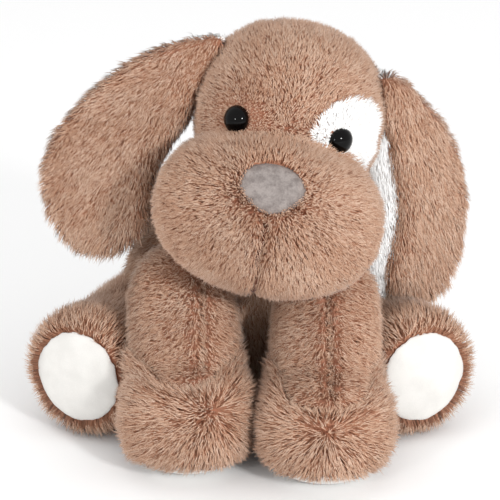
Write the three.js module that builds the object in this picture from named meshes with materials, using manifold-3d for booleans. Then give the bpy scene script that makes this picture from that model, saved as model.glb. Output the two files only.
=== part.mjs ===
// A seated plush puppy with floppy ears, 24 cm tall: stuffed fabric bags sewn to one another.
// Millimetres, +Z up. The puppy faces -Y, so its left side is +X. It sits on z = 0, and the
// origin is under the middle of its box.

import * as THREE from 'three';
import { mergeVertices } from 'three/addons/utils/BufferGeometryUtils.js';
import Module from 'manifold-3d';

const wasm = await Module();
wasm.setup();

// ---------------------------------------------------------------- driving dimensions

const GAP = 0.3; // between pieces that are sewn or lie against each other
const PLUSH = 4; // plush fabric with its pile pressed down
const SLACK = 2.5; // between bags that move against each other

// how many sides a round bag has: its outside, its inside and what it presses into
const OUTSIDE = 18;
const INSIDE = 12;

const SKULL = { radii: [47, 46, 46], power: 2.3 };
const SKULL_PLACE = [21, -10, 182];
const HEAD_ROLL = 12; // the head leans towards the puppy's left
const MUZZLE = { radii: [58, 36, 39.5], power: 2.3 };
const MUZZLE_PLACE = [-2.5, -44, -44.5]; // from the middle of the skull
const GUSSET_WIDTH = 22; // strip over the top of the head

const NOSE_WIDTH = 36;
const NOSE_HEIGHT = 23;
const NOSE_RISE = 21.5; // above the middle of the muzzle
const NOSE_SHIFT = -3; // the nose is sewn on a little to the right
const MOUTH_THREAD = 0.9; // radius

const EYE_RADIUS = 6.5;
const EYE_DOME = 4.5; // how far the eye stands out of the plush
const EYE_SHANK = { radius: 2.5, length: 15 };
const EYE_WASHER = { radius: 7, thickness: 1.6, depth: 8 };
const EYE_PLACE = [27.5, -0.5]; // sideways and up from the middle of the skull
const EYE_PATCH = { radius: 19.5, turn: 41, rise: 0 };

const EAR_HALF = 6.5; // thickness of each of an ear's two layers
const EAR_BEVEL = 2.5;
const EAR_PLACE = [52, -2, 14]; // from the middle of the skull
// The edge of the ear pattern, from the top of its root seam round the tip: outwards and upwards.
const EAR_EDGE = [
  [-4, 22], [14, 17], [36, 0], [56, -24], [70, -56], [70, -84],
  [52, -106], [28, -107], [14, -88], [14, -58], [4, -22],
];
const EARS = {
  left: { turn: 44, swing: 4, reach: 1.06 },
  right: { turn: 14, swing: 0, reach: 1.02 },
};

const NECK = { radius: 22, height: 9, place: [12, -10, 138] };

const TORSO = { radii: [71, 49, 76], power: 2.1, taper: 0.25 };
const TORSO_PLACE = [0, 40, 66];
const TORSO_LEAN = 30; // from the rump, forwards to the chest
const SEAT_PANEL = 3;
const PELLET_LEVEL = 24; // height of the pellets in the rump

const ARM = { shoulder: 26, sleeve: 28.5, ankle: 27, flatness: 0.8 };
const PAW = { radii: [32.5, 34, 30], power: 2.3 };
// cuff: height of the seam between sleeve and paw; front: sideways from the shoulder to the front seam
const ARMS = {
  left: { shoulder: [42, -28, 80], paw: [39.5, -74, 28], cuff: 50, front: 0 },
  right: { shoulder: [-38, -28, 85], paw: [-34, -64, 29], cuff: 58, front: 12 },
};
const PAW_SOLE_LEVEL = 9;

const LEG = { hip: 33, thigh: 28, foot: 32, length: 93 };
const LEG_PLACE = [55, 47, 36];
const LEG_TURN = 27; // outwards from straight ahead
const LEG_RISE = 1;
const SOLE = { radius: 27, puff: 4 };

const TAIL = { root: 9, tip: 11, length: 44 };
const TAIL_PLACE = [0, 92, 32];
const TAIL_RISE = 25;

const COLOURS = {
  tan: 0xb98c73,
  white: 0xf2f0ec,
  grey: 0x9f9590,
  black: 0x0b0a0a,
  nylon: 0xe6e4df,
  thread: 0x7c5340,
  fill: 0xf7f5f0,
};

// ---------------------------------------------------------------- geometry helpers

// Turns a closed three.js geometry into a solid that can be cut and joined.
function toSolid(geometry) {
  const bare = geometry.index ? geometry.toNonIndexed() : geometry.clone();
  for (const name of Object.keys(bare.attributes)) {
    if (name !== 'position') bare.deleteAttribute(name);
  }
  const merged = mergeVertices(bare, 1e-3);
  const triangles = [];
  for (let i = 0; i < merged.index.count; i += 3) {
    const [a, b, c] = [0, 1, 2].map((k) => merged.index.getX(i + k));
    if (a !== b && b !== c && c !== a) triangles.push(a, b, c);
  }
  return new wasm.Manifold(new wasm.Mesh({
    numProp: 3,
    vertProperties: Float32Array.from(merged.attributes.position.array),
    triVerts: Uint32Array.from(triangles),
  }));
}

function toGeometry(solid) {
  const mesh = solid.getMesh();
  const geometry = new THREE.BufferGeometry();
  geometry.setAttribute('position', new THREE.BufferAttribute(mesh.vertProperties, 3));
  geometry.setIndex(new THREE.BufferAttribute(mesh.triVerts, 1));
  geometry.computeVertexNormals();
  return geometry;
}

const degrees = (angle) => THREE.MathUtils.degToRad(angle);
const along = (x, y, z) => new THREE.Vector3(x, y, z);

// A stuffed bag: a rounded box of the given half sizes, narrower towards the top if tapered.
function bag({ radii, power, taper = 0 }, grow, detail) {
  const geometry = new THREE.SphereGeometry(1, detail, Math.round(detail * 0.6));
  geometry.rotateX(Math.PI / 2);
  const place = geometry.attributes.position;
  for (let i = 0; i < place.count; i++) {
    const p = along(place.getX(i), place.getY(i), place.getZ(i));
    const reach = p.toArray().reduce((sum, c) => sum + Math.abs(c) ** power, 0) ** (1 / power);
    p.divideScalar(reach);
    const narrow = 1 - taper * p.z;
    p.multiply(along((radii[0] + grow) * narrow, (radii[1] + grow) * narrow, radii[2] + grow));
    place.setXYZ(i, p.x, p.y, p.z);
  }
  return geometry;
}

// A round bar from one point to another.
function bar(from, to, radius, detail = 16) {
  const axis = along(...to).sub(along(...from));
  const turn = new THREE.Quaternion().setFromUnitVectors(along(0, 1, 0), axis.clone().normalize());
  const middle = along(...from).addScaledVector(axis, 0.5);
  return new THREE.CylinderGeometry(radius, radius, axis.length(), detail)
    .applyQuaternion(turn).translate(...middle.toArray());
}

// A solid moved to where its group stands.
function placed(solid, group) {
  group.updateMatrix();
  return solid.transform(group.matrix.elements);
}

// Everything on one side of a plane, within a block far larger than the puppy.
function side(point, normal) {
  const reach = 400;
  const axis = along(...normal).normalize();
  const turn = new THREE.Quaternion().setFromUnitVectors(along(0, 0, 1), axis);
  const middle = along(...point).addScaledVector(axis, reach / 2);
  const block = new THREE.BoxGeometry(reach, reach, reach);
  return toSolid(block.applyQuaternion(turn).translate(...middle.toArray()));
}

// Cuts a solid in two at a plane, leaving the seam's gap between the halves.
function halves(solid, point, normal) {
  const axis = along(...normal).normalize().multiplyScalar(GAP / 2);
  const ahead = along(...point).add(axis).toArray();
  const behind = along(...point).sub(axis).toArray();
  return [
    solid.intersect(side(ahead, normal)),
    solid.intersect(side(behind, normal.map((c) => -c))),
  ];
}

// A body turned about Z: its outline goes from (0, low) round to (0, high).
function turned(outline, detail) {
  const points = outline.map(([radius, height]) => new THREE.Vector2(Math.max(radius, 0), height));
  return new THREE.LatheGeometry(points, detail).rotateX(Math.PI / 2);
}

// A round-ended tube about Z through [radius, height] rings, from its low end to its high end.
function sausage(rings, capLow, capHigh, grow, detail) {
  const first = rings[0];
  const last = rings[rings.length - 1];
  const outline = [];
  const steps = 3;
  for (let i = 0; i < steps; i++) {
    const angle = (i / steps) * Math.PI / 2;
    outline.push([(first[0] + grow) * Math.sin(angle), first[1] - (capLow + grow) * Math.cos(angle)]);
  }
  for (const [radius, height] of rings) outline.push([radius + grow, height]);
  for (let i = steps - 1; i >= 0; i--) {
    const angle = (i / steps) * Math.PI / 2;
    outline.push([(last[0] + grow) * Math.sin(angle), last[1] + (capHigh + grow) * Math.cos(angle)]);
  }
  return turned(outline, detail);
}

// ---------------------------------------------------------------- materials and pieces

const FINISH = {
  tan: [0.95, 0],
  white: [0.95, 0],
  grey: [0.85, 0],
  black: [0.08, 0],
  nylon: [0.45, 0],
  thread: [0.8, 0],
  fill: [0.95, 0],
};

function piece(name, geometry, colour) {
  const [roughness, metalness] = FINISH[colour];
  const material = new THREE.MeshStandardMaterial({ color: COLOURS[colour], roughness, metalness });
  const mesh = new THREE.Mesh(geometry, material);
  mesh.name = name;
  return mesh;
}

const sewn = (name, solid, colour) => piece(name, toGeometry(solid), colour);

// ---------------------------------------------------------------- head

// The point and outward normal of the skull straight ahead of (x, z) on its face.
function onFace(x, z) {
  const [rx, ry, rz] = SKULL.radii;
  const n = SKULL.power;
  const left = 1 - Math.abs(x / rx) ** n - Math.abs(z / rz) ** n;
  const y = -ry * left ** (1 / n);
  const slope = (value, radius) => Math.sign(value) * Math.abs(value / radius) ** (n - 1) / radius;
  return { point: along(x, y, z), normal: along(slope(x, rx), slope(y, ry), slope(z, rz)).normalize() };
}

// One safety eye: a glossy dome on a shank, turned about its own axis. Grown, it cuts its own hole.
function eyeGeometry(grow = 0) {
  const shank = EYE_SHANK.radius + grow;
  const outline = [[0, -EYE_SHANK.length - grow], [shank, -EYE_SHANK.length - grow], [shank, -grow]];
  const steps = 4;
  for (let i = 0; i <= steps; i++) {
    const angle = (i / steps) * Math.PI / 2;
    outline.push([(EYE_RADIUS + grow) * Math.cos(angle), (EYE_DOME + grow) * Math.sin(angle)]);
  }
  return turned(outline, OUTSIDE);
}

// The washer pressed onto the shank inside the head.
function washerGeometry() {
  const low = -EYE_WASHER.depth - EYE_WASHER.thickness;
  const high = -EYE_WASHER.depth;
  const hole = EYE_SHANK.radius + GAP;
  const rim = EYE_WASHER.radius;
  return turned([[hole, low], [rim, low], [rim, high], [hole, high], [hole, low]], INSIDE);
}

function seated(geometry, { point, normal }) {
  const turn = new THREE.Quaternion().setFromUnitVectors(along(0, 0, 1), normal);
  return geometry.applyQuaternion(turn).translate(...point.toArray());
}

function ear(name, sign) {
  const { turn, swing, reach } = EARS[name];
  const edge = EAR_EDGE.map(([out, up]) => new THREE.Vector2(out * sign, up).multiplyScalar(reach)
    .rotateAround(new THREE.Vector2(), degrees(swing * sign)));
  const outline = new THREE.SplineCurve(edge).getPoints(20);
  const layer = new THREE.ExtrudeGeometry(new THREE.Shape(outline), {
    depth: EAR_HALF - 2 * EAR_BEVEL, bevelEnabled: true, bevelThickness: EAR_BEVEL,
    bevelSize: EAR_BEVEL, bevelOffset: -EAR_BEVEL, bevelSegments: 1, curveSegments: 1,
  }).rotateX(Math.PI / 2);
  const outer = layer.clone().translate(0, -EAR_BEVEL - GAP / 2, 0);
  const lining = layer.clone().translate(0, EAR_HALF - EAR_BEVEL + GAP / 2, 0);
  const group = new THREE.Group();
  group.add(piece(`${name}_ear_outer`, outer, 'tan'), piece(`${name}_ear_lining`, lining, 'white'));
  group.position.set(EAR_PLACE[0] * sign, EAR_PLACE[1], EAR_PLACE[2]);
  group.rotation.z = degrees(turn) * sign;
  return group;
}

function head() {
  const skullOuter = toSolid(bag(SKULL, 0, OUTSIDE));
  const skullInner = toSolid(bag(SKULL, -PLUSH, INSIDE));
  const atMuzzle = (grow, detail) => toSolid(bag(MUZZLE, grow, detail).translate(...MUZZLE_PLACE));
  const neckHole = toSolid(bar([0, 0, -80], [0, 0, -30], NECK.radius + SLACK));
  const skull = skullOuter.subtract(skullInner).subtract(atMuzzle(GAP, OUTSIDE)).subtract(neckHole);
  const muzzle = atMuzzle(0, OUTSIDE).subtract(atMuzzle(-PLUSH, INSIDE)).subtract(skullInner)
    .subtract(neckHole);
  const eyes = [1, -1].map((sign) => onFace(EYE_PLACE[0] * sign, EYE_PLACE[1]));
  const eyeHoles = eyes.map((eye) => toSolid(seated(eyeGeometry(GAP), eye)));
  const washerRoom = eyes.map((eye) => toSolid(seated(
    new THREE.CylinderGeometry(EYE_WASHER.radius + GAP, EYE_WASHER.radius + GAP, 14, INSIDE)
      .rotateX(Math.PI / 2).translate(0, 0, -PLUSH - 7), eye)));

  const patchAxis = along(Math.sin(degrees(EYE_PATCH.turn)), -Math.cos(degrees(EYE_PATCH.turn)), 0);
  const patchCut = (grow) => toSolid(bar([0, 0, EYE_PATCH.rise],
    [patchAxis.x * 70, patchAxis.y * 70, EYE_PATCH.rise], EYE_PATCH.radius + grow, 18));
  const [rightOfStrip, otherwise] = halves(skull, [-GUSSET_WIDTH / 2, 0, 0], [-1, 0, 0]);
  const [leftOfStrip, strip] = halves(otherwise, [GUSSET_WIDTH / 2, 0, 0], [1, 0, 0]);
  const leftSide = leftOfStrip.subtract(patchCut(GAP));
  const patch = leftOfStrip.intersect(patchCut(0)).subtract(eyeHoles[0]);

  const noseCut = (grow) => toSolid(new THREE.CylinderGeometry(1, 1, 80, 18)
    .scale(NOSE_WIDTH / 2 + grow, 1, NOSE_HEIGHT / 2 + grow)
    .translate(MUZZLE_PLACE[0] + NOSE_SHIFT, MUZZLE_PLACE[1] - 40, MUZZLE_PLACE[2] + NOSE_RISE));
  const cheeks = muzzle.subtract(noseCut(GAP));
  const [leftCheek, rightCheek] = halves(cheeks, MUZZLE_PLACE, [1, 0, 0]);

  const filling = toSolid(bag(SKULL, -PLUSH - GAP, INSIDE)).add(atMuzzle(-PLUSH - GAP, INSIDE))
    .subtract(neckHole).subtract(washerRoom[0]).subtract(washerRoom[1])
    .subtract(eyeHoles[0]).subtract(eyeHoles[1]);

  const group = new THREE.Group();
  group.add(
    sewn('head_left_side', leftSide, 'tan'),
    sewn('head_right_side', rightOfStrip.subtract(eyeHoles[1]), 'tan'),
    sewn('head_centre_strip', strip, 'tan'),
    sewn('eye_patch', patch, 'white'),
    sewn('muzzle_left_panel', leftCheek, 'tan'),
    sewn('muzzle_right_panel', rightCheek, 'tan'),
    sewn('nose_patch', muzzle.intersect(noseCut(0)), 'grey'),
    piece('mouth_thread', mouthThread(), 'thread'),
    piece('left_eye', seated(eyeGeometry(), eyes[0]), 'black'),
    piece('right_eye', seated(eyeGeometry(), eyes[1]), 'black'),
    piece('left_eye_washer', seated(washerGeometry(), eyes[0]), 'nylon'),
    piece('right_eye_washer', seated(washerGeometry(), eyes[1]), 'nylon'),
    sewn('head_filling', filling, 'fill'),
    ear('left', 1),
    ear('right', -1),
  );
  group.position.set(...SKULL_PLACE);
  group.rotation.y = degrees(HEAD_ROLL);
  return group;
}

// Thread laid in the seam below the nose, down to the chin.
function mouthThread() {
  const lift = MOUTH_THREAD + GAP;
  const [, ry, rz] = MUZZLE.radii;
  const n = MUZZLE.power;
  const points = [];
  const steps = 8;
  for (let i = 0; i <= steps; i++) {
    const angle = degrees(THREE.MathUtils.lerp(-8, 62, i / steps));
    const [cos, sin] = [Math.cos(angle), Math.sin(angle)];
    const reach = (cos ** n + Math.abs(sin) ** n) ** (1 / n);
    points.push(along(
      MUZZLE_PLACE[0] + NOSE_SHIFT * (1 - i / steps),
      MUZZLE_PLACE[1] - (ry + lift) * cos / reach,
      MUZZLE_PLACE[2] - (rz + lift) * sin / reach,
    ));
  }
  const section = new THREE.Shape().absarc(0, 0, MOUTH_THREAD, 0, 2 * Math.PI);
  return new THREE.ExtrudeGeometry(section, {
    steps: 9, curveSegments: 4, bevelEnabled: false,
    extrudePath: new THREE.CatmullRomCurve3(points),
  });
}

// ---------------------------------------------------------------- torso and neck

function torsoBag(grow) {
  const detail = grow < 0 ? INSIDE : OUTSIDE;
  return toSolid(bag(TORSO, grow, detail).rotateX(degrees(TORSO_LEAN)).translate(...TORSO_PLACE));
}

// The bags that press into the torso: the legs, the tail and, on its cut top, the neck.
function dents(grow) {
  const neckSeat = NECK.place[2] - NECK.height / 2 - 2 * GAP - grow;
  return [
    ...Object.keys(ARMS).map((name) => armSolid(name, SLACK + grow, INSIDE).translate(ARMS[name].shoulder)),
    ...[1, -1].map((sign) => placed(legSolid(SLACK + grow, INSIDE), legPlace(sign))),
    placed(tailSolid(SLACK + grow, INSIDE), tailPlace()),
    side([0, 0, neckSeat], [0, 0, 1]),
  ];
}

const without = (solid, cutters) => cutters.reduce((rest, cutter) => rest.subtract(cutter), solid);

function torso() {
  const ground = side([0, 0, 0], [0, 0, 1]);
  const outer = without(torsoBag(0).intersect(ground), dents(0));
  const innerFloor = side([0, 0, SEAT_PANEL], [0, 0, 1]);
  const inner = without(torsoBag(-PLUSH).intersect(innerFloor), dents(PLUSH));
  const shell = outer.subtract(inner);
  const [upper, seat] = halves(shell, [0, 0, SEAT_PANEL], [0, 0, 1]);
  const lean = degrees(TORSO_LEAN);
  const [back, front] = halves(upper, TORSO_PLACE, [0, Math.cos(lean), Math.sin(lean)]);
  const stuffing = without(torsoBag(-PLUSH - GAP)
    .intersect(side([0, 0, SEAT_PANEL + GAP], [0, 0, 1])), dents(PLUSH + GAP));
  const [filling, pellets] = halves(stuffing, [0, 0, PELLET_LEVEL], [0, 0, 1]);
  const [backLeft, backRight] = halves(back, [0, 0, 0], [1, 0, 0]);

  const group = new THREE.Group();
  group.add(
    sewn('torso_front_panel', front, 'tan'),
    sewn('torso_back_left_panel', backLeft, 'tan'),
    sewn('torso_back_right_panel', backRight, 'tan'),
    sewn('seat_panel', seat, 'tan'),
    sewn('torso_filling', filling, 'fill'),
    sewn('pellet_bag', pellets, 'nylon'),
  );
  return group;
}

function neck() {
  const { radius, height } = NECK;
  const edge = 2;
  const geometry = turned([[0, -height / 2], [radius - edge, -height / 2], [radius, -height / 2 + edge],
    [radius, height / 2 - edge], [radius - edge, height / 2], [0, height / 2]], OUTSIDE);
  const mesh = piece('neck_roll', geometry, 'tan');
  mesh.position.set(...NECK.place);
  return mesh;
}

// ---------------------------------------------------------------- limbs and tail

// A front leg about its shoulder: a sleeve that ends in a furry paw with a white sole.
function armSolid(name, grow, detail) {
  const { shoulder, paw } = ARMS[name];
  const toPaw = along(...paw).sub(along(...shoulder));
  const turn = new THREE.Quaternion().setFromUnitVectors(along(0, 0, -1), toPaw.clone().normalize());
  const reach = toPaw.length();
  const sleeve = sausage([[ARM.ankle, -reach], [ARM.sleeve, -reach / 2], [ARM.shoulder, 0]],
    ARM.ankle / 2, ARM.shoulder, grow, detail).scale(1, ARM.flatness, 1).applyQuaternion(turn);
  return toSolid(sleeve).add(toSolid(bag(PAW, grow, detail).translate(...toPaw.toArray())));
}

function arm(name) {
  const { shoulder, paw, cuff, front } = ARMS[name];
  const toPaw = along(...paw).sub(along(...shoulder));
  const body = (grow) => armSolid(name, grow, grow < 0 ? INSIDE : OUTSIDE);
  const ground = side([0, 0, -shoulder[2]], [0, 0, 1]);
  const floor = side([0, 0, PLUSH - shoulder[2]], [0, 0, 1]);
  const shell = body(0).intersect(ground).subtract(body(-PLUSH).intersect(floor));
  const [aboveSole, sole] = halves(shell, [0, toPaw.y, PAW_SOLE_LEVEL - shoulder[2]], [0, 0.12, 1]);
  const [sleeve, top] = halves(aboveSole, [0, toPaw.y, cuff - shoulder[2]], [0, 0.5, 1]);
  const middle = halves(sleeve, [front, 0, 0], [1, 0, 0]);
  const [inner, outer] = name === 'left' ? [middle[1], middle[0]] : middle;
  const stuffing = body(-PLUSH - GAP).intersect(side([0, 0, PLUSH + GAP - shoulder[2]], [0, 0, 1]));

  const group = new THREE.Group();
  group.add(
    sewn(`${name}_front_leg_inner_panel`, inner, 'tan'),
    sewn(`${name}_front_leg_outer_panel`, outer, 'tan'),
    sewn(`${name}_paw_panel`, top, 'tan'),
    sewn(`${name}_paw_sole`, sole, 'white'),
    sewn(`${name}_front_leg_filling`, stuffing, 'fill'),
  );
  group.position.set(...shoulder);
  return group;
}

// A hind leg about its hip, stretched forwards, with its sole facing ahead.
function legSolid(grow, detail) {
  return toSolid(sausage([[SOLE.radius, -LEG.length + 3], [LEG.foot, -LEG.length + 14],
    [LEG.thigh, -LEG.length * 0.55], [LEG.hip, 0]], SOLE.puff, LEG.hip, grow, detail));
}

function legPlace(sign) {
  const group = new THREE.Group();
  group.position.set(LEG_PLACE[0] * sign, LEG_PLACE[1], LEG_PLACE[2]);
  group.rotation.set(-Math.PI / 2 - degrees(LEG_RISE), 0, degrees(LEG_TURN) * sign, 'ZXY');
  return group;
}

function leg(name, sign) {
  const shell = legSolid(0, OUTSIDE).subtract(legSolid(-PLUSH, INSIDE));
  const [furry, sole] = halves(shell, [0, 0, -LEG.length + 4], [0, 0, 1]);
  const [inner, outer] = halves(furry, [0, 0, 0], [-sign, 0, 0]);

  const group = legPlace(sign);
  group.add(
    sewn(`${name}_hind_leg_inner_panel`, inner, 'tan'),
    sewn(`${name}_hind_leg_outer_panel`, outer, 'tan'),
    sewn(`${name}_hind_sole`, sole, 'white'),
    sewn(`${name}_hind_leg_filling`, legSolid(-PLUSH - GAP, INSIDE), 'fill'),
  );
  return group;
}

function tailSolid(grow, detail) {
  return toSolid(sausage([[TAIL.root, 0], [TAIL.tip, TAIL.length * 0.6],
    [TAIL.tip * 0.7, TAIL.length]], TAIL.root, TAIL.tip * 0.6, grow, detail));
}

function tailPlace() {
  const group = new THREE.Group();
  group.position.set(...TAIL_PLACE);
  group.rotation.x = degrees(TAIL_RISE - 90);
  return group;
}

function tail() {
  const fabric = tailSolid(0, INSIDE).subtract(tailSolid(-PLUSH, INSIDE));
  const [left, right] = halves(fabric, [0, 0, 0], [1, 0, 0]);
  const group = tailPlace();
  group.add(
    sewn('tail_left_panel', left, 'tan'),
    sewn('tail_right_panel', right, 'tan'),
    sewn('tail_filling', tailSolid(-PLUSH - GAP, INSIDE), 'fill'),
  );
  return group;
}

// ---------------------------------------------------------------- the puppy

const puppy = new THREE.Group();
puppy.add(torso(), neck(), head(), arm('left'), arm('right'), leg('left', 1), leg('right', -1), tail());

const box = new THREE.Box3().setFromObject(puppy, true);
puppy.position.set(-(box.min.x + box.max.x) / 2, -(box.min.y + box.max.y) / 2, -box.min.z);

export default puppy;
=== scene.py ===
import itertools
import math

import bmesh
import bpy
import numpy as np
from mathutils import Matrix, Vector
from mathutils.bvhtree import BVHTree


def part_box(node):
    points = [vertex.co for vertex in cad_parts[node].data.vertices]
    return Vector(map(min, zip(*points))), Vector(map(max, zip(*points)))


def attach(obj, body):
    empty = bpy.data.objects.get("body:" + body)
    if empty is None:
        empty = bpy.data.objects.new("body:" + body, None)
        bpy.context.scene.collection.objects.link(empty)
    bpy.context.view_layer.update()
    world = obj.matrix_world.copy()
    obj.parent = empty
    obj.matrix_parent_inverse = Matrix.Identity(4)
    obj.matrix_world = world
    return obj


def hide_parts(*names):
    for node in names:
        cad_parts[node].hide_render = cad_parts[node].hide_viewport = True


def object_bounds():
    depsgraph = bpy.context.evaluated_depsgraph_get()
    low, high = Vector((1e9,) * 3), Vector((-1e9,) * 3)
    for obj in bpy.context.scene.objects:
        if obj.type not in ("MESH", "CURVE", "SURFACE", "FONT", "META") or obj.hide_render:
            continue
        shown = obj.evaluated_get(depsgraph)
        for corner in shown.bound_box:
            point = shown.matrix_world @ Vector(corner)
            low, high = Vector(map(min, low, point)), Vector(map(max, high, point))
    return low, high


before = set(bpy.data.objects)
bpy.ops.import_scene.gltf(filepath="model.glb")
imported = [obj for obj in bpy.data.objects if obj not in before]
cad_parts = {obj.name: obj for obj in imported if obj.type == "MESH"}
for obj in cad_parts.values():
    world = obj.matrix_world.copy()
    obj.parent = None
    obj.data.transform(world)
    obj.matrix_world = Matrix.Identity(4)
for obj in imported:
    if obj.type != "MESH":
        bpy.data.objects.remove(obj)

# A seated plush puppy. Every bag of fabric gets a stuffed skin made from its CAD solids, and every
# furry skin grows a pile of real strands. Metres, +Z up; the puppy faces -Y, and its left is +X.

cad_low, cad_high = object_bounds()

MM = 0.001
UP = np.array((0.0, 0.0, 1.0))
FLOOR_GAP = 0.4 * MM  # how far the pile on the underside stays above the floor

VOXEL = 4 * MM         # of a skin's remeshing, where it needs no finer one
STRAND_LIMIT = 19500   # strands in one piece of pile
ROOT_DEPTH = 0.8 * MM  # of a strand, under its skin
PILE_ROOM = 2 * MM     # strands need so much free height,
PILE_GAP = 0.8 * MM    # and this far to another skin

SIDES = {"left": 1, "right": -1}

# ---------------------------------------------------------------- small helpers


def unit(v):
    return v / np.maximum(np.linalg.norm(v, axis=-1, keepdims=True), 1e-9)


def middle(node):
    low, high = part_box(node)
    return np.array((low + high) / 2)


def smoothstep(low, high, value):
    t = np.clip((value - low) / (high - low), 0, 1)
    return t * t * (3 - 2 * t)


def waves(points, scale, seed):
    """Smooth values of about -1 to 1 over space, with features of about that scale."""
    rng = np.random.default_rng(seed)
    total = np.zeros(len(points))
    count = 7
    for _ in range(count):
        direction = unit(rng.normal(size=3)) * rng.uniform(0.7, 1.5) * 2 * math.pi / scale
        total += np.sin(points @ direction + rng.uniform(0, 2 * math.pi))
    return total / count * 1.6


def coordinates(mesh):
    flat = np.empty(len(mesh.vertices) * 3, np.float32)
    mesh.vertices.foreach_get("co", flat)
    return flat.reshape(-1, 3).astype(float)


def set_coordinates(mesh, points):
    mesh.vertices.foreach_set("co", points.astype(np.float32).ravel())
    mesh.update()


def vertex_normals(mesh):
    flat = np.empty(len(mesh.vertices) * 3, np.float32)
    mesh.vertices.foreach_get("normal", flat)
    return flat.reshape(-1, 3).astype(float)


def linked(name, mesh):
    piece = bpy.data.objects.new(name, mesh)
    bpy.context.scene.collection.objects.link(piece)
    return piece


def applied(piece):
    """Makes the result of a piece's modifiers its mesh."""
    graph = bpy.context.evaluated_depsgraph_get()
    mesh = bpy.data.meshes.new_from_object(piece.evaluated_get(graph))
    piece.modifiers.clear()
    piece.data = mesh


def ring_mesh(name, rings):
    """A closed mesh through rings of points. A ring of one point is a pole; other ends get a face."""
    work = bmesh.new()
    rings = [[work.verts.new(point) for point in ring] for ring in rings]
    around = max(len(ring) for ring in rings)
    for lower, upper in zip(rings, rings[1:]):
        for k in range(around):
            corners = [lower[k % len(lower)], lower[(k + 1) % len(lower)],
                       upper[(k + 1) % len(upper)], upper[k % len(upper)]]
            work.faces.new(list(dict.fromkeys(corners)))
    for end in (rings[0], rings[-1]):
        if len(end) > 1:
            work.faces.new(end)
    bmesh.ops.recalc_face_normals(work, faces=work.faces)
    mesh = bpy.data.meshes.new(name)
    work.to_mesh(mesh)
    work.free()
    return mesh


def circle(centre, side, other, radius, count):
    """Points round a centre, in the plane of two directions."""
    turns = [2 * math.pi * k / count for k in range(count)]
    return [centre + (side * math.cos(turn) + other * math.sin(turn)) * radius for turn in turns]


def shade_smooth(piece):
    piece.data.polygons.foreach_set("use_smooth", [True] * len(piece.data.polygons))


# ---------------------------------------------------------------- materials


def srgb(red, green, blue):
    def linear(value):
        value /= 255
        return value / 12.92 if value <= 0.04045 else ((value + 0.055) / 1.055) ** 2.4
    return (linear(red), linear(green), linear(blue), 1)


def strand_material(name, colour):
    """One tone of a strand."""
    material = bpy.data.materials.new(name)
    material.use_nodes = True
    shader = material.node_tree.nodes["Principled BSDF"]
    shader.inputs["Base Color"].default_value = srgb(*colour)
    shader.inputs["Roughness"].default_value = 0.8
    shader.inputs["Specular IOR Level"].default_value = 0.15
    shader.inputs["Sheen Weight"].default_value = 0.15
    shader.inputs["Sheen Roughness"].default_value = 0.4
    return material


def tones(name, roots, tips):
    """The materials of a pile: its root tones, and its tip tones. The root tones are darker, as painted
    shade deep in the pile.
    """
    return [[strand_material(f"{name}_{part}_{i}", colour) for i, colour in enumerate(colours)]
            for part, colours in (("root", roots), ("tip", tips))]


def cloth_material(name, dark, light, grain, bump, blotches=90):
    """Fabric: mottled between two colours, with a fine woven or napped grain in its bump."""
    material = bpy.data.materials.new(name)
    material.use_nodes = True
    nodes = material.node_tree.nodes
    links = material.node_tree.links
    shader = nodes["Principled BSDF"]
    shader.inputs["Roughness"].default_value = 0.9
    shader.inputs["Specular IOR Level"].default_value = 0.2
    shader.inputs["Sheen Weight"].default_value = 0.3
    shader.inputs["Sheen Roughness"].default_value = 0.35

    place = nodes.new("ShaderNodeTexCoord")
    blotch = nodes.new("ShaderNodeTexNoise")
    blotch.inputs["Scale"].default_value = blotches
    blotch.inputs["Detail"].default_value = 5
    nap = nodes.new("ShaderNodeTexNoise")
    nap.inputs["Scale"].default_value = grain
    nap.inputs["Detail"].default_value = 6
    both = nodes.new("ShaderNodeMath")
    both.operation = "MULTIPLY_ADD"
    both.inputs[1].default_value = 0.45
    ramp = nodes.new("ShaderNodeValToRGB")
    ramp.color_ramp.elements[0].position = 0.55
    ramp.color_ramp.elements[0].color = srgb(*dark)
    ramp.color_ramp.elements[1].position = 0.85
    ramp.color_ramp.elements[1].color = srgb(*light)
    relief = nodes.new("ShaderNodeBump")
    relief.inputs["Strength"].default_value = bump
    relief.inputs["Distance"].default_value = 0.4 * MM

    links.new(place.outputs["Object"], blotch.inputs["Vector"])
    links.new(place.outputs["Object"], nap.inputs["Vector"])
    links.new(nap.outputs["Fac"], both.inputs[0])
    links.new(blotch.outputs["Fac"], both.inputs[2])
    links.new(both.outputs[0], ramp.inputs["Fac"])
    links.new(ramp.outputs["Color"], shader.inputs["Base Color"])
    links.new(nap.outputs["Fac"], relief.inputs["Height"])
    links.new(relief.outputs["Normal"], shader.inputs["Normal"])
    return material


# The roots of each pile are darker and redder than its tips: painted shade deep in the pile.
TAN_TONES = tones("tan_pile",
                  roots=[(166, 114, 88), (180, 130, 104)],
                  tips=[(188, 147, 121), (198, 161, 137), (210, 178, 156)])
WHITE_TONES = tones("white_pile",
                    roots=[(244, 240, 236), (248, 246, 243)],
                    tips=[(251, 250, 248), (253, 252, 251), (254, 254, 253)])
# The backing cloth is darker than the tips of its pile: painted shade between the strands and in the
# creases.
TAN_CLOTH = cloth_material("tan_backing", (160, 108, 84), (180, 128, 104), grain=900, bump=0.5)
WHITE_CLOTH = cloth_material("white_backing", (248, 246, 243), (252, 251, 249), grain=900, bump=0.5)
SOLE_CLOTH = cloth_material("white_velvet", (208, 206, 202), (216, 214, 210), grain=1600, bump=0.2)
NOSE_CLOTH = cloth_material("grey_velvet", (112, 104, 101), (142, 134, 130), grain=1100, bump=0.6,
                            blotches=230)

# ---------------------------------------------------------------- stuffed skins


def joined(name, nodes):
    """A new piece with the meshes of CAD nodes in it."""
    work = bmesh.new()
    for node in nodes:
        work.from_mesh(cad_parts[node].data)
    mesh = bpy.data.meshes.new(name)
    work.to_mesh(mesh)
    work.free()
    return linked(name, mesh)


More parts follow.
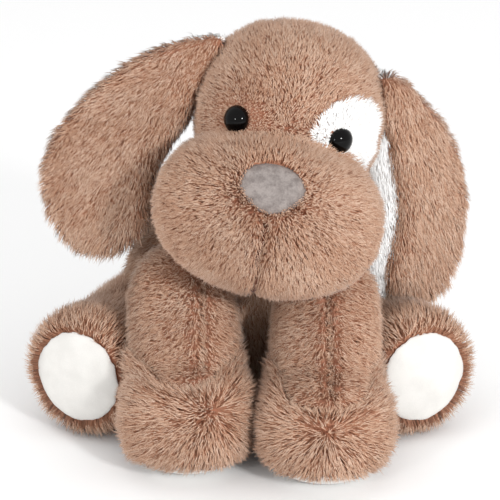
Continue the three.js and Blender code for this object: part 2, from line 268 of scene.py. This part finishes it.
def remeshed(piece, voxel=VOXEL):
    voxels = piece.modifiers.new("voxels", "REMESH")
    voxels.mode = "VOXEL"
    voxels.voxel_size = voxel
    applied(piece)


def smoothed(piece, rounds):
    smooth = piece.modifiers.new("smooth", "CORRECTIVE_SMOOTH")
    smooth.smooth_type = "LENGTH_WEIGHTED"
    smooth.iterations = rounds
    smooth.use_only_smooth = True
    applied(piece)


def stuffed(piece, pressure, cap, frames=20):
    """Blows the cloth up from inside, and lets no point move further than the cap."""
    rest = coordinates(piece.data)
    cloth = piece.modifiers.new("cloth", "CLOTH")
    settings = cloth.settings
    settings.use_pressure = True
    settings.uniform_pressure_force = pressure
    settings.effector_weights.gravity = 0
    settings.tension_stiffness = 20
    settings.compression_stiffness = 20
    settings.bending_stiffness = 0.6
    settings.quality = 4
    cloth.point_cache.frame_start = 1
    cloth.point_cache.frame_end = frames
    scene = bpy.context.scene
    for number in range(1, frames + 1):
        scene.frame_set(number)
    applied(piece)
    scene.frame_set(1)
    moves = coordinates(piece.data) - rest
    far = np.linalg.norm(moves, axis=1, keepdims=True)
    moves *= np.minimum(1, cap / np.maximum(far, 1e-9))
    set_coordinates(piece.data, rest + moves)


def subdivided(piece):
    subdivision = piece.modifiers.new("subdivision", "SUBSURF")
    subdivision.levels = 1
    subdivision.render_levels = 1
    applied(piece)


def pulled_in(piece, crease, depth):
    """Sews a seam: the skin goes in where crease(points) is 1, and stays where it is 0."""
    points = coordinates(piece.data)
    inwards = -vertex_normals(piece.data)
    set_coordinates(piece.data, points + inwards * (crease(points) * depth)[:, None])


def moved(piece, shift):
    """Shapes a skin: shift(points) is how far each of them goes."""
    points = coordinates(piece.data)
    set_coordinates(piece.data, points + shift(points))


def skin(name, body, nodes, material, inner=(), crease=None, depth=0.0,
         voxel=VOXEL, rounds=8, pressure=3.0, cap=3 * MM):
    """The stuffed fabric of one bag. The inner nodes are what it holds. The rounds smooth it, the
    pressure blows it up by the cap at most, and crease(points) pulls it in by the depth."""
    piece = joined(name, [*nodes, *inner])
    remeshed(piece, voxel)
    smoothed(piece, rounds)
    stuffed(piece, pressure, cap)
    subdivided(piece)
    if crease:
        pulled_in(piece, crease, depth)
    points = coordinates(piece.data)
    points[:, 2] = np.maximum(points[:, 2], FLOOR_GAP)
    set_coordinates(piece.data, points)
    shade_smooth(piece)
    piece.data.materials.clear()
    piece.data.materials.append(material)
    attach(piece, body)
    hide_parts(*nodes, *inner)
    return piece


# ---------------------------------------------------------------- pile


def scattered(mesh, density, rng):
    """Points spread evenly over a mesh, so many per square millimetre, with its smooth normals."""
    mesh.calc_loop_triangles()
    corners = np.empty(len(mesh.loop_triangles) * 3, np.int32)
    mesh.loop_triangles.foreach_get("vertices", corners)
    corners = corners.reshape(-1, 3)
    points = coordinates(mesh)[corners]
    normals = vertex_normals(mesh)[corners]
    area = np.linalg.norm(np.cross(points[:, 1] - points[:, 0], points[:, 2] - points[:, 0]), axis=1)
    count = int(area.sum() / 2 / MM ** 2 * density)
    chosen = np.searchsorted(np.cumsum(area) / area.sum(), rng.random(count))
    chosen = np.minimum(chosen, len(area) - 1)
    a, b = rng.random((2, count))
    over = a + b > 1
    a[over], b[over] = 1 - a[over], 1 - b[over]
    weights = np.stack([1 - a - b, a, b], axis=1)[:, :, None]
    return (points[chosen] * weights).sum(1), unit((normals[chosen] * weights).sum(1))


def buried(points, trees, margin, deepest=60 * MM):
    """Which points lie inside any of the skins, or closer to one than the margin."""
    hidden = np.zeros(len(points), bool)
    for tree in trees:
        for i, point in enumerate(points):
            if hidden[i]:
                continue
            place, normal, _, distance = tree.find_nearest(point)
            if place is None:
                continue
            outside = (Vector(point) - place).dot(normal) > 0
            hidden[i] = distance < (margin if outside else deepest)
    return hidden


def tuft_of(points, size, seed):
    """The tuft that each point belongs to: the nearest of a jittered grid of tuft centres."""
    cell = np.floor(points / size).astype(np.int64)
    best = np.full(len(points), np.inf)
    chosen = np.zeros(len(points), np.int64)
    for shift in itertools.product((-1, 0, 1), repeat=3):
        near = cell + shift
        key = (near[:, 0] * 73856093) ^ (near[:, 1] * 19349663) ^ (near[:, 2] * 83492791) ^ seed
        jitter = np.stack([((key * m) >> 13 & 1023) / 1023 for m in (2654435761, 40503, 69069)], 1)
        distance = np.linalg.norm((near + jitter) * size - points, axis=1)
        closer = distance < best
        best[closer] = distance[closer]
        chosen[closer] = key[closer]
    return np.unique(chosen, return_inverse=True)[1].ravel()


# The root faces take the darker root tones: painted shade deep in the pile.
STRAND_FACES = [(2, 1, 0), (0, 1, 4, 3), (1, 2, 5, 4), (2, 0, 3, 5),  # in the root's tone
                (3, 4, 6), (4, 5, 6), (5, 3, 6)]                      # in the tip's tone
STRAND_ROOT_FACES = 4
STRAND_POINTS = 7


def strand_mesh(name, rings, radii, tip, normals, tone, root_count, tip_count):
    """Closed, tapered, three-sided strands: a ring at the root, one at the bend, and a tip. The tone
    of each, from 0 to 1, picks its materials. They are shaded with the normals of their skin, as
    soft pile is."""
    count = len(tip)
    along_first = unit(rings[1] - rings[0])
    side = unit(np.cross(along_first, UP + 0.01))
    other = np.cross(along_first, side)
    parts = []
    for ring, radius in zip(rings, radii):
        for k in range(3):
            angle = 2 * math.pi * k / 3
            parts.append(ring + (side * math.cos(angle) + other * math.sin(angle)) * radius[:, None])
    points = np.stack([*parts, tip], axis=1).reshape(-1, 3)

    sizes = np.array([len(face) for face in STRAND_FACES])
    corners = np.concatenate(STRAND_FACES)
    first = np.arange(count) * STRAND_POINTS
    loops = (first[:, None] + corners).ravel()
    totals = np.tile(sizes, count)
    starts = np.concatenate([[0], np.cumsum(totals)[:-1]])

    root_tone = np.minimum((tone * root_count).astype(int), root_count - 1)
    tip_tone = np.minimum((tone * tip_count).astype(int), tip_count - 1) + root_count
    faces_of_each = (STRAND_ROOT_FACES, len(STRAND_FACES) - STRAND_ROOT_FACES)
    slots = np.repeat(np.stack([root_tone, tip_tone], 1), faces_of_each, axis=1).ravel()

    mesh = bpy.data.meshes.new(name)
    mesh.vertices.add(len(points))
    mesh.vertices.foreach_set("co", points.astype(np.float32).ravel())
    mesh.loops.add(len(loops))
    mesh.loops.foreach_set("vertex_index", loops.astype(np.int32))
    mesh.polygons.add(len(totals))
    mesh.polygons.foreach_set("loop_start", starts.astype(np.int32))
    mesh.polygons.foreach_set("loop_total", totals.astype(np.int32))
    mesh.polygons.foreach_set("material_index", slots.astype(np.int32))
    mesh.polygons.foreach_set("use_smooth", np.ones(len(totals), bool))
    mesh.update(calc_edges=True)
    mesh.normals_split_custom_set_from_vertices(np.repeat(normals, STRAND_POINTS, axis=0))
    return mesh


def pile(name, body, backing, density, length, lay, lift, tone_materials, seed,
         within=None, trees=(), crease=None, radius=0.26 * MM, tuft=2.4 * MM, clump=0.22, mess=24,
         ground=FLOOR_GAP):
    """Grows strands on a skin, so many per square millimetre. lay(points) is the way they lie,
    lift(points) their slope off the skin in degrees, length(points) their length in millimetres,
    and within(points, normals) says where they grow. None grows inside the skins of the trees, and
    those in the crease are shorter. The tips of a tuft lean together by the clump, the mess is how
    far the strands stray from their lay in degrees, and no strand comes below the ground."""
    rng = np.random.default_rng(seed)
    roots, normals = scattered(backing.data, density, rng)
    if within is not None:
        grow = within(roots, normals)
        roots, normals = roots[grow], normals[grow]
    clear = ~buried(roots + normals * PILE_ROOM, trees, PILE_GAP)
    roots, normals = roots[clear], normals[clear]
    count = len(roots)

    # A strand rises steeply to its bend, and leans over from there to its tip.
    flow = lay(roots)
    flow = unit(flow - (flow * normals).sum(1, keepdims=True) * normals)
    turn = np.radians(14 * waves(roots, 20 * MM, seed + 1) + rng.normal(0, mess, count))[:, None]
    across = np.cross(normals, flow)
    flow = flow * np.cos(turn) + across * np.sin(turn)
    slope = lift(roots) + 9 * waves(roots, 11 * MM, seed + 2) + rng.normal(0, mess * 0.5, count)
    slope = np.radians(slope)
    long = length(roots) * MM * rng.uniform(0.7, 1.1, count)
    long *= 1 + 0.1 * waves(roots, 14 * MM, seed + 3)
    if crease:
        long *= 1 - 0.65 * crease(roots)
    steep = np.clip(slope + 0.3, 0.1, 1.5)[:, None]
    low = np.clip(slope - 0.25, 0.05, 1.5)[:, None]
    bends = roots + (normals * np.sin(steep) + flow * np.cos(steep)) * (long * 0.58)[:, None]
    tips = bends + (normals * np.sin(low) + flow * np.cos(low)) * (long * 0.42)[:, None]

    # The tips of a tuft are drawn to a place near their middle.
    tufts = tuft_of(roots, tuft, seed)
    members = np.bincount(tufts)
    centre = np.stack([np.bincount(tufts, tips[:, k]) / members for k in range(3)], 1)
    centre += rng.normal(0, 0.5 * MM, centre.shape)
    pull = (centre[tufts] - tips) * clump * rng.uniform(0.3, 1.6, count)[:, None]
    tips += pull
    bends += pull * 0.3
    for spot in (bends, tips):
        spot[:, 2] = np.maximum(spot[:, 2], ground)

    # The tone differs over the skin, from tuft to tuft and from strand to strand.
    shade = 0.5 + 0.2 * waves(roots, 30 * MM, seed + 4) + rng.normal(0, 0.25, count)
    tone = np.clip(shade + rng.normal(0, 0.1, len(members))[tufts], 0, 0.999)
    thick = radius * rng.uniform(0.75, 1.25, count)
    base = roots - normals * ROOT_DEPTH
    root_tones, tip_tones = tone_materials
    parts = max(1, math.ceil(count / STRAND_LIMIT))
    for part in range(parts):
        own = slice(part * count // parts, (part + 1) * count // parts)
        part_name = f"{name}_{part + 1}" if parts > 1 else name
        mesh = strand_mesh(part_name, [base[own], bends[own]], [thick[own], thick[own] * 0.85],
                           tips[own], normals[own], tone[own], len(root_tones), len(tip_tones))
        for material in (*root_tones, *tip_tones):
            mesh.materials.append(material)
        piece = linked(part_name, mesh)
        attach(piece, body)


def constant(value):
    return lambda points: np.full(len(points), float(value))


def tree_of(piece):
    return BVHTree.FromPolygons(
        [v.co.copy() for v in piece.data.vertices],
        [tuple(p.vertices) for p in piece.data.polygons])


def distance_to(points, place):
    return np.linalg.norm(points - place, axis=1)


# ---------------------------------------------------------------- places

# How far each eye sits from its CAD solid, and how much room the pile leaves round it.
EYE_SHIFT = {"left": np.array((-2.5 * MM, 0, 3 * MM)), "right": np.array((0, 0, MM))}
EYE_CLEARING = 7 * MM
eyes = {name: middle(f"{name}_eye") + EYE_SHIFT[name] for name in SIDES}
nose = middle("nose_patch")
head_across = eyes["left"] - eyes["right"]
head_across[1] = 0
head_across = unit(head_across)
head_up = unit(np.cross(head_across, (0.0, 1.0, 0.0)))
bridge = (eyes["left"] + eyes["right"]) / 2


def box_of(nodes):
    boxes = [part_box(node) for node in nodes]
    return (np.min([low for low, _ in boxes], axis=0), np.max([high for _, high in boxes], axis=0))


muzzle_box = box_of(["muzzle_left_panel", "muzzle_right_panel"])
skull_box = box_of(["head_left_side", "head_right_side", "head_centre_strip"])


def depth_in(points, box):
    """0 at the middle of an egg that fills the box, and 1 on its surface."""
    low, high = box
    return np.linalg.norm((points - (low + high) / 2) / ((high - low) / 2), axis=1)


# ---------------------------------------------------------------- skins

PANELS = {
    "head": ["head_left_side", "head_right_side", "head_centre_strip", "eye_patch",
             "muzzle_left_panel", "muzzle_right_panel"],
    "torso": ["torso_front_panel", "torso_back_left_panel", "torso_back_right_panel", "seat_panel"],
    "neck": ["neck_roll"],
    "tail": ["tail_left_panel", "tail_right_panel"],
}


def mouth_line():
    """Points down the middle of the mouth's thread."""
    points = coordinates(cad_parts["mouth_thread"].data)
    points = points[np.argsort(-points[:, 2])]
    return np.array([chunk.mean(0) for chunk in np.array_split(points, 26)])


def beside_mouth(points):
    """How far across the head from the thread, to the puppy's left."""
    line = mouth_line() - nose
    offset = points - nose
    return offset @ head_across - np.interp(-(offset @ head_up), -(line @ head_up), line @ head_across)


def mouth_crease(points):
    offset = points - nose
    below = smoothstep(-5 * MM, -11 * MM, offset @ head_up)
    ahead = smoothstep(34 * MM, 22 * MM, offset[:, 1])
    return np.exp(-(beside_mouth(points) / (1.7 * MM)) ** 2) * below * ahead


head_skin = skin("head_plush", "head", PANELS["head"], TAN_CLOTH,
                 inner=["head_filling"], crease=mouth_crease, depth=5 * MM)
nose_skin = skin("nose_velvet", "head", ["nose_patch"], NOSE_CLOTH, voxel=1.5 * MM,
                 rounds=4, pressure=2.0, cap=1.2 * MM)


NOSE_HALF_WIDTH = 18 * MM
NOSE_HALF_HEIGHT = 11.8 * MM


def nose_frame(points):
    """Across and up from the middle of the nose, as parts of its half width and half height."""
    offset = points - nose
    return (offset @ head_across) / NOSE_HALF_WIDTH, (offset @ head_up) / NOSE_HALF_HEIGHT


def nose_shape(points):
    """A flat top and a narrow bottom."""
    across, up = nose_frame(points)
    narrower = across * np.minimum(up, 0) * 0.3 * NOSE_HALF_WIDTH
    higher = np.where(up > 0, across ** 2 * up * 0.3, 0) * NOSE_HALF_HEIGHT
    return narrower[:, None] * head_across + higher[:, None] * head_up - np.array((0, 1.2 * MM, 0))


moved(nose_skin, nose_shape)
torso_skin = skin("torso_plush", "torso", PANELS["torso"], TAN_CLOTH,
                  inner=["torso_filling", "pellet_bag"])
neck_skin = skin("neck_plush", "neck", PANELS["neck"], TAN_CLOTH)
tail_skin = skin("tail_plush", "tail", PANELS["tail"], TAN_CLOTH, inner=["tail_filling"],
                 voxel=3 * MM)


def sleeve_seams(name):
    """The seam down the front of a sleeve, and the one round its cuff, as places and as a crease."""
    inner_low, inner_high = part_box(f"{name}_front_leg_inner_panel")
    outer_low, outer_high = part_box(f"{name}_front_leg_outer_panel")
    seam = (outer_low[0] + inner_high[0]) / 2 if SIDES[name] > 0 else (outer_high[0] + inner_low[0]) / 2
    paw_low, paw_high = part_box(f"{name}_paw_panel")
    cuff = paw_high[2] - 4 * MM
    ahead = (paw_low[1] + paw_high[1]) / 2

    def crease(points):
        front = np.exp(-((points[:, 0] - seam) / (1.8 * MM)) ** 2)
        front *= smoothstep(cuff - 2 * MM, cuff + 2 * MM, points[:, 2])
        front *= points[:, 1] < ahead + 30 * MM
        level = cuff + (points[:, 1] - ahead) * 0.25
        return np.maximum(front, np.exp(-((points[:, 2] - level) / (2.2 * MM)) ** 2))

    return seam, cuff, ahead, crease


front_skins = {}
hind_skins = {}
ear_skins = {}
lining_skins = {}
for side_name in SIDES:
    front = f"{side_name}_front_leg"
    hind = f"{side_name}_hind_leg"
    front_skins[side_name] = skin(
        f"{front}_plush", front,
        [f"{front}_inner_panel", f"{front}_outer_panel", f"{side_name}_paw_panel"],
        TAN_CLOTH, inner=[f"{front}_filling"], crease=sleeve_seams(side_name)[3],
        depth=2.5 * MM)
    paw_sole = skin(
        f"{side_name}_paw_sole_velvet", front, [f"{side_name}_paw_sole"], SOLE_CLOTH,
        voxel=1.6 * MM, rounds=20, cap=1.5 * MM)
    moved(paw_sole, lambda points: (points - points.mean(0)) * (0.1, 0.1, 0) - (0, 1.5 * MM, 0))
    hind_skins[side_name] = skin(
        f"{hind}_plush", hind, [f"{hind}_inner_panel", f"{hind}_outer_panel"],
        TAN_CLOTH, inner=[f"{hind}_filling"])
    hind_sole = skin(
        f"{side_name}_hind_sole_velvet", hind, [f"{side_name}_hind_sole"], SOLE_CLOTH,
        voxel=1.6 * MM, rounds=30, cap=2.5 * MM)
    moved(hind_sole, lambda points: (points - points.mean(0)) * 0.05)
    ear_skins[side_name] = skin(
        f"{side_name}_ear_plush", f"{side_name}_ear", [f"{side_name}_ear_outer"], TAN_CLOTH,
        voxel=2.5 * MM, rounds=4, pressure=1.5, cap=2 * MM)
    lining_skins[side_name] = skin(
        f"{side_name}_ear_lining_plush", f"{side_name}_ear", [f"{side_name}_ear_lining"],
        WHITE_CLOTH, voxel=2.5 * MM, rounds=4, pressure=1.5, cap=2 * MM)


def ear_way(name):
    """Which way the outer layer of an ear faces."""
    return unit(middle(f"{name}_ear_outer") - middle(f"{name}_ear_lining"))


def up_the_ear(name, points):
    """0 at the tip of an ear, and 1 at the top of its root."""
    low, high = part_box(f"{name}_ear_outer")
    return (points[:, 2] - low[2]) / (high[2] - low[2])


def rolled_lining(points):
    """The lining of the left ear rolls out past the inner edge of its outer layer."""
    inwards = unit(np.cross(ear_way("left"), UP))
    inwards *= -np.sign(inwards[0])
    edge = smoothstep(2 * MM, 22 * MM, (points - points.mean(0)) @ inwards)
    edge *= smoothstep(0.86, 0.7, up_the_ear("left", points))
    bottom = smoothstep(0.25, 0.02, up_the_ear("left", points))
    return edge[:, None] * inwards * 8 * MM - bottom[:, None] * UP * 3 * MM


def draped(name, reach):
    """An ear lies close to the head at its root, and the left one hangs longer at its tip."""
    def shift(points):
        height = up_the_ear(name, points)
        close = smoothstep(0.35, 1.0, height)[:, None] * (-SIDES[name] * reach, 0, -2 * MM)
        longer = smoothstep(0.5, 0, height)[:, None] * (1.5 * MM, -2 * MM, -5 * MM)
        return close + longer * (name == "left")

    return shift


moved(lining_skins["left"], rolled_lining)
moved(ear_skins["left"], lambda points: rolled_lining(points) * (-0.6, -0.6, 0))
for side_name, reach in (("left", 8 * MM), ("right", 6 * MM)):
    moved(lining_skins[side_name], draped(side_name, reach))
    moved(ear_skins[side_name], draped(side_name, reach))

torso_tree = tree_of(torso_skin)
head_tree = tree_of(head_skin)
front_trees = {name: tree_of(piece) for name, piece in front_skins.items()}
hind_trees = {name: tree_of(piece) for name, piece in hind_skins.items()}
ear_trees = {name: tree_of(piece) for name, piece in ear_skins.items()}
lining_trees = {name: tree_of(piece) for name, piece in lining_skins.items()}

# ---------------------------------------------------------------- the head's pile


def on_muzzle(points):
    near_muzzle = np.abs(depth_in(points, muzzle_box) - 0.95)
    near_skull = np.abs(depth_in(points, skull_box) - 0.95)
    return (near_muzzle < near_skull) & (points[:, 1] < bridge[1] + 25 * MM)


def in_patch(points):
    return distance_to(points, middle("eye_patch")) < 21 * MM


def eye_distance(points):
    return np.minimum(distance_to(points, eyes["left"]), distance_to(points, eyes["right"]))


def off_nose(points):
    across, up = nose_frame(points)
    across = across / (1 + 0.3 * np.minimum(up, 0))
    return (np.hypot(across, up) > 0.93) | (points[:, 1] > nose[1] + 15 * MM)


def muzzle_lay(points):
    offset = points - nose
    side = np.sign(beside_mouth(points))[:, None] * head_across
    parted = mouth_crease(points)[:, None]
    return unit(offset) + side * parted * 3


def muzzle_length(points):
    return 7.5 - 3 * smoothstep(26 * MM, 10 * MM, eye_distance(points))


def muzzle_lift(points):
    return 74 - 34 * smoothstep(18 * MM, 70 * MM, distance_to(points, nose))


def skull_lay(points):
    from_left, from_right = points - eyes["left"], points - eyes["right"]
    nearer_left = np.linalg.norm(from_left, axis=1) < np.linalg.norm(from_right, axis=1)
    from_eye = np.where(nearer_left[:, None], from_left, from_right)
    close = smoothstep(28 * MM, 9 * MM, eye_distance(points))[:, None]
    return unit(points - bridge) * (1 - close) + unit(from_eye) * close * 1.5


def skull_lift(points):
    return 58 - 16 * smoothstep(28 * MM, 9 * MM, eye_distance(points))


def skull_length(points):
    return 7.5 - 4 * smoothstep(24 * MM, 9 * MM, eye_distance(points))


def patch_length(points):
    return 8 - 4 * smoothstep(20 * MM, 9 * MM, eye_distance(points))


def muzzle_area(points, normals):
    clear = (mouth_crease(points) < 0.2) & (eye_distance(points) > EYE_CLEARING)
    return on_muzzle(points) & off_nose(points) & clear


def skull_area(points, normals):
    return ~on_muzzle(points) & ~in_patch(points) & (eye_distance(points) > EYE_CLEARING)


def patch_area(points, normals):
    return ~on_muzzle(points) & in_patch(points) & (eye_distance(points) > EYE_CLEARING)


pile("muzzle_pile", "head", head_skin, 2.5, muzzle_length, muzzle_lay, muzzle_lift,
     TAN_TONES, 11, within=muzzle_area, crease=mouth_crease)
pile("skull_pile", "head", head_skin, 2.1, skull_length, skull_lay, skull_lift,
     TAN_TONES, 12, within=skull_area)
pile("eye_patch_pile", "head", head_skin, 5.5, patch_length, skull_lay, constant(34),
     WHITE_TONES, 13, within=patch_area, mess=12)

# ---------------------------------------------------------------- the ears' pile


def ear_root(name):
    low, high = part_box(f"{name}_ear_outer")
    inner = low[0] if SIDES[name] > 0 else high[0]
    return np.array((inner, (low[1] + high[1]) / 2, high[2] - 14 * MM))


def grow_ear(name, seed, rim):
    """The two layers of an ear. The rim says how far round its edge the outer pile grows."""
    root = ear_root(name)
    way = ear_way(name)
    low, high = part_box(f"{name}_ear_outer")

    outwards = np.array((SIDES[name], 0, 0))

    def near_root(points):
        return smoothstep(38 * MM, 10 * MM, distance_to(points, root))

    def lay(points):
        close = near_root(points)[:, None]
        return unit(points - root) * (1 - close) + outwards * close * 0.7 - UP * (0.35 + close)

    def length(points):
        return 9.5 + 4 * smoothstep(low[2] + 45 * MM, low[2], points[:, 2]) - 4 * near_root(points)

    def lift(points):
        return 36 - 14 * near_root(points)

    def outer_area(points, normals):
        return (normals @ way > rim) | (points[:, 2] > high[2] - 24 * MM)

    def lining_area(points, normals):
        return (points[:, 2] < high[2] - 20 * MM) | (normals @ way < -0.4)

    pile(f"{name}_ear_pile", f"{name}_ear", ear_skins[name], 1.8, length, lay, lift,
         TAN_TONES, seed, within=outer_area, trees=[head_tree, lining_trees[name]], mess=16)
    pile(f"{name}_ear_lining_pile", f"{name}_ear", lining_skins[name], 2.6,
         constant(7.5), lay, lift, WHITE_TONES, seed + 1, within=lining_area,
         trees=[head_tree, ear_trees[name]], mess=16)


grow_ear("left", 21, 0.0)
grow_ear("right", 23, -0.4)

# ---------------------------------------------------------------- the body's pile

torso_middle = sum(box_of(PANELS["torso"])) / 2


def torso_lay(points):
    outwards = unit((points - torso_middle) * (1, 1, 0))
    return outwards * 0.5 - UP


pile("torso_pile", "torso", torso_skin, 1.2, constant(10.5), torso_lay, constant(48),
     TAN_TONES, 31, trees=[*front_trees.values(), *hind_trees.values()], radius=0.36 * MM)
pile("neck_pile", "neck", neck_skin, 1.0, constant(12), torso_lay, constant(60),
     TAN_TONES, 32, trees=[torso_tree, head_tree])


def tail_lay(points):
    return np.tile(np.array((0.0, 1.0, 0.35)), (len(points), 1))


def tail_lift(points):
    end = box_of(PANELS["tail"])[1][1]
    return 42 + 38 * smoothstep(end - 12 * MM, end, points[:, 1])


pile("tail_pile", "tail", tail_skin, 1.5, constant(10), tail_lay, tail_lift,
     TAN_TONES, 33, trees=[torso_tree])

# ---------------------------------------------------------------- the legs' pile

# Where the pile of a paw parts: across from the paw's middle, and up from its bottom.
DART = {"left": (0, 30 * MM), "right": (15 * MM, 37 * MM)}


def grow_front(name, seed):
    """The pile of a sleeve and its paw, parted down the sleeve's seam and at the paw's dart."""
    low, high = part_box(f"{name}_paw_panel")
    seam, cuff, ahead, crease = sleeve_seams(name)
    dart = np.array(((low[0] + high[0]) / 2 + DART[name][0], low[1] + 3 * MM, low[2] + DART[name][1]))
    shoulder = float(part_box(f"{name}_front_leg_outer_panel")[1][2])

    def paw(points):
        level = cuff + (points[:, 1] - ahead) * 0.25
        return smoothstep(level + 2 * MM, level - 2 * MM, points[:, 2])

    def lay(points):
        on_paw = paw(points)[:, None]
        parted = np.clip((points[:, 0] - seam) / (8 * MM), -1, 1)[:, None] * np.array((0.5, 0, 0))
        return unit(points - dart) * on_paw + (parted - UP * 0.75) * (1 - on_paw)

    def lift(points):
        return 44 + 30 * paw(points) * smoothstep(12 * MM, 3 * MM, distance_to(points, dart))

    def length(points):
        return 8.5 + 3.5 * paw(points)

    def area(points, normals):
        return (points[:, 2] > 13 * MM) & (points[:, 2] < shoulder + 10 * MM)

    pile(f"{name}_front_leg_pile", f"{name}_front_leg", front_skins[name], 1.6, length, lay,
         lift, TAN_TONES, seed, within=area, trees=[torso_tree, head_tree], crease=crease, clump=0.3,
         ground=8 * MM)


def grow_hind(name, seed):
    """The pile of a hind leg, left off where its sole is."""
    sole = middle(f"{name}_hind_sole")
    hip = middle(f"{name}_hind_leg_filling")
    ahead = unit(sole - hip)

    def lay(points):
        """Away from the sole's middle, then along the leg to the hip."""
        offset = points - sole
        back = -(offset @ ahead)
        rim = smoothstep(26 * MM, 6 * MM, back)[:, None]
        return (unit(offset) + ahead * 0.35) * rim - (ahead + UP * 0.4) * (1 - rim)

    def area(points, normals):
        offset = points - sole
        outwards = np.linalg.norm(offset - (offset @ ahead)[:, None] * ahead, axis=1)
        return (normals @ ahead < 0.9) | (outwards > 24 * MM)

    pile(f"{name}_hind_leg_pile", f"{name}_hind_leg", hind_skins[name], 1.5, constant(11.5),
         lay, constant(46), TAN_TONES, seed, within=area, trees=[torso_tree])


for seed, name in zip((41, 42), SIDES):
    grow_front(name, seed)
    grow_hind(name, seed + 10)

# ---------------------------------------------------------------- the eyes


EYE_GLOSS = strand_material("black_eye", (5, 4, 4))
eye_shader = EYE_GLOSS.node_tree.nodes["Principled BSDF"]
eye_shader.inputs["Roughness"].default_value = 0.05
eye_shader.inputs["Specular IOR Level"].default_value = 0.13
eye_shader.inputs["Sheen Weight"].default_value = 0


BEAD_DOME = 6.2 * MM  # from the widest ring of an eye to its top
BEAD_AHEAD = 2 * MM   # how far an eye stands out past its CAD solid
BEAD_PART = 0.9       # of the solid's radius


def bead(name):
    """A smooth domed eye, turned about the line from its washer out through its middle."""
    points = coordinates(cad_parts[f"{name}_eye"].data) + EYE_SHIFT[name]
    axis = unit(middle(f"{name}_eye") - middle(f"{name}_eye_washer"))
    foot = middle(f"{name}_eye_washer") + EYE_SHIFT[name]
    height = (points - foot) @ axis
    radius = np.linalg.norm(points - foot - height[:, None] * axis, axis=1).max() * BEAD_PART
    top = height.max() + BEAD_AHEAD
    shank, back = radius * 0.4, top - BEAD_DOME - 4 * MM
    profile = [(0.0, back), (shank, back), (shank, top - BEAD_DOME - MM)]
    for turn in np.radians(np.linspace(-8, 88, 12)):
        profile.append((radius * math.cos(turn), top - BEAD_DOME * (1 - math.sin(turn))))
    profile.append((0.0, top))
    side = unit(np.cross(axis, UP))
    other = np.cross(axis, side)
    rings = [circle(foot + axis * level, side, other, reach, 40 if reach else 1)
             for reach, level in profile]
    piece = linked(f"{name}_eye_bead", ring_mesh(f"{name}_eye_bead", rings))
    piece.data.materials.append(EYE_GLOSS)
    shade_smooth(piece)
    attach(piece, "head")
    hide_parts(f"{name}_eye")


for side_name in SIDES:
    bead(side_name)

# ---------------------------------------------------------------- the mouth


def tube(name, path, radius, sides=8):
    """A closed round cord along a path, a little thicker and thinner by turns, as thread is."""
    along = np.gradient(path, axis=0)
    side = unit(np.cross(along, (1.0, 0.2, 0.0)))
    other = unit(np.cross(along, side))
    ends = (0, len(path) - 1)
    rings = []
    for k, centre in enumerate(path):
        thick = radius * (0.5 if k in ends else 1 + 0.15 * (-1) ** k)
        rings.append(circle(centre, side[k], other[k], thick, sides))
    piece = linked(name, ring_mesh(name, rings))
    shade_smooth(piece)
    return piece


THREAD_RISE = 4.5 * MM  # of the thread above the bottom of its crease


def mouth_path():
    """Down the crease under the nose, evened out."""
    path = []
    for centre in mouth_line():
        place, normal, _, _ = head_tree.find_nearest(Vector(centre))
        path.append(np.array(place + normal * THREAD_RISE))
    path = np.array(path)
    for _ in range(4):
        path[1:-1] = (path[:-2] + path[1:-1] * 2 + path[2:]) / 4
    return path


THREAD = cloth_material("mouth_thread", (74, 40, 28), (98, 58, 42), grain=1500, bump=0.5)
mouth = tube("mouth_stitching", mouth_path(), 0.9 * MM)
mouth.data.materials.append(THREAD)
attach(mouth, "head")
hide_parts("mouth_thread")

# ---------------------------------------------------------------- stage

bpy.ops.mesh.primitive_plane_add(size=8, location=(0, 0, 0))
floor = bpy.context.object
floor.name = "floor"
floor_material = bpy.data.materials.new("pale_floor")
floor_material.use_nodes = True
floor_shader = floor_material.node_tree.nodes["Principled BSDF"]
floor_shader.inputs["Base Color"].default_value = (0.93, 0.93, 0.93, 1)
floor_shader.inputs["Roughness"].default_value = 0.9
floor.data.materials.append(floor_material)

world = bpy.data.worlds.new("studio")
bpy.context.scene.world = world
world.use_nodes = True
background = world.node_tree.nodes["Background"]
background.inputs["Color"].default_value = (1, 1, 1, 1)
background.inputs["Strength"].default_value = 1.0

LIT_HEIGHT = 110 * MM  # the lights point here, above the origin


def soft_light(name, place, size, power):
    data = bpy.data.lights.new(name, "AREA")
    data.shape = "DISK"
    data.size = size
    data.energy = power
    lamp = bpy.data.objects.new(name, data)
    bpy.context.scene.collection.objects.link(lamp)
    lamp.location = place
    way = Vector((0, 0, LIT_HEIGHT)) - lamp.location
    lamp.rotation_euler = way.to_track_quat("-Z", "Y").to_euler()


soft_light("key", (0.85, -1.5, 0.75), 0.22, 18)
soft_light("fill", (-0.9, -1.5, 0.6), 0.22, 5)

CAMERA_DISTANCE = 1.0
CAMERA_RISE = 18          # degrees
SENSOR = 36               # millimetres, and so is the lens
LENS = 130.9
SIGHT_LEFT = 1.3 * MM     # the camera is placed round this point in the puppy's chest
SIGHT_AHEAD = 35.6 * MM
SIGHT_HEIGHT = 120 * MM
AIM_BELOW = 12.6 * MM     # and looks this far below it
sight = Vector(((cad_low[0] + cad_high[0]) / 2 - SIGHT_LEFT, -SIGHT_AHEAD, SIGHT_HEIGHT))
aim = sight - Vector((0, 0, AIM_BELOW))
rise = math.radians(CAMERA_RISE)
camera_data = bpy.data.cameras.new("camera")
camera_data.lens = LENS
camera_data.sensor_width = SENSOR
camera = bpy.data.objects.new("camera", camera_data)
bpy.context.scene.collection.objects.link(camera)
camera.location = sight + Vector((0, -math.cos(rise), math.sin(rise))) * CAMERA_DISTANCE
camera.rotation_euler = (aim - camera.location).to_track_quat("-Z", "Y").to_euler()
bpy.context.scene.camera = camera
bpy.context.scene.view_settings.view_transform = "Standard"
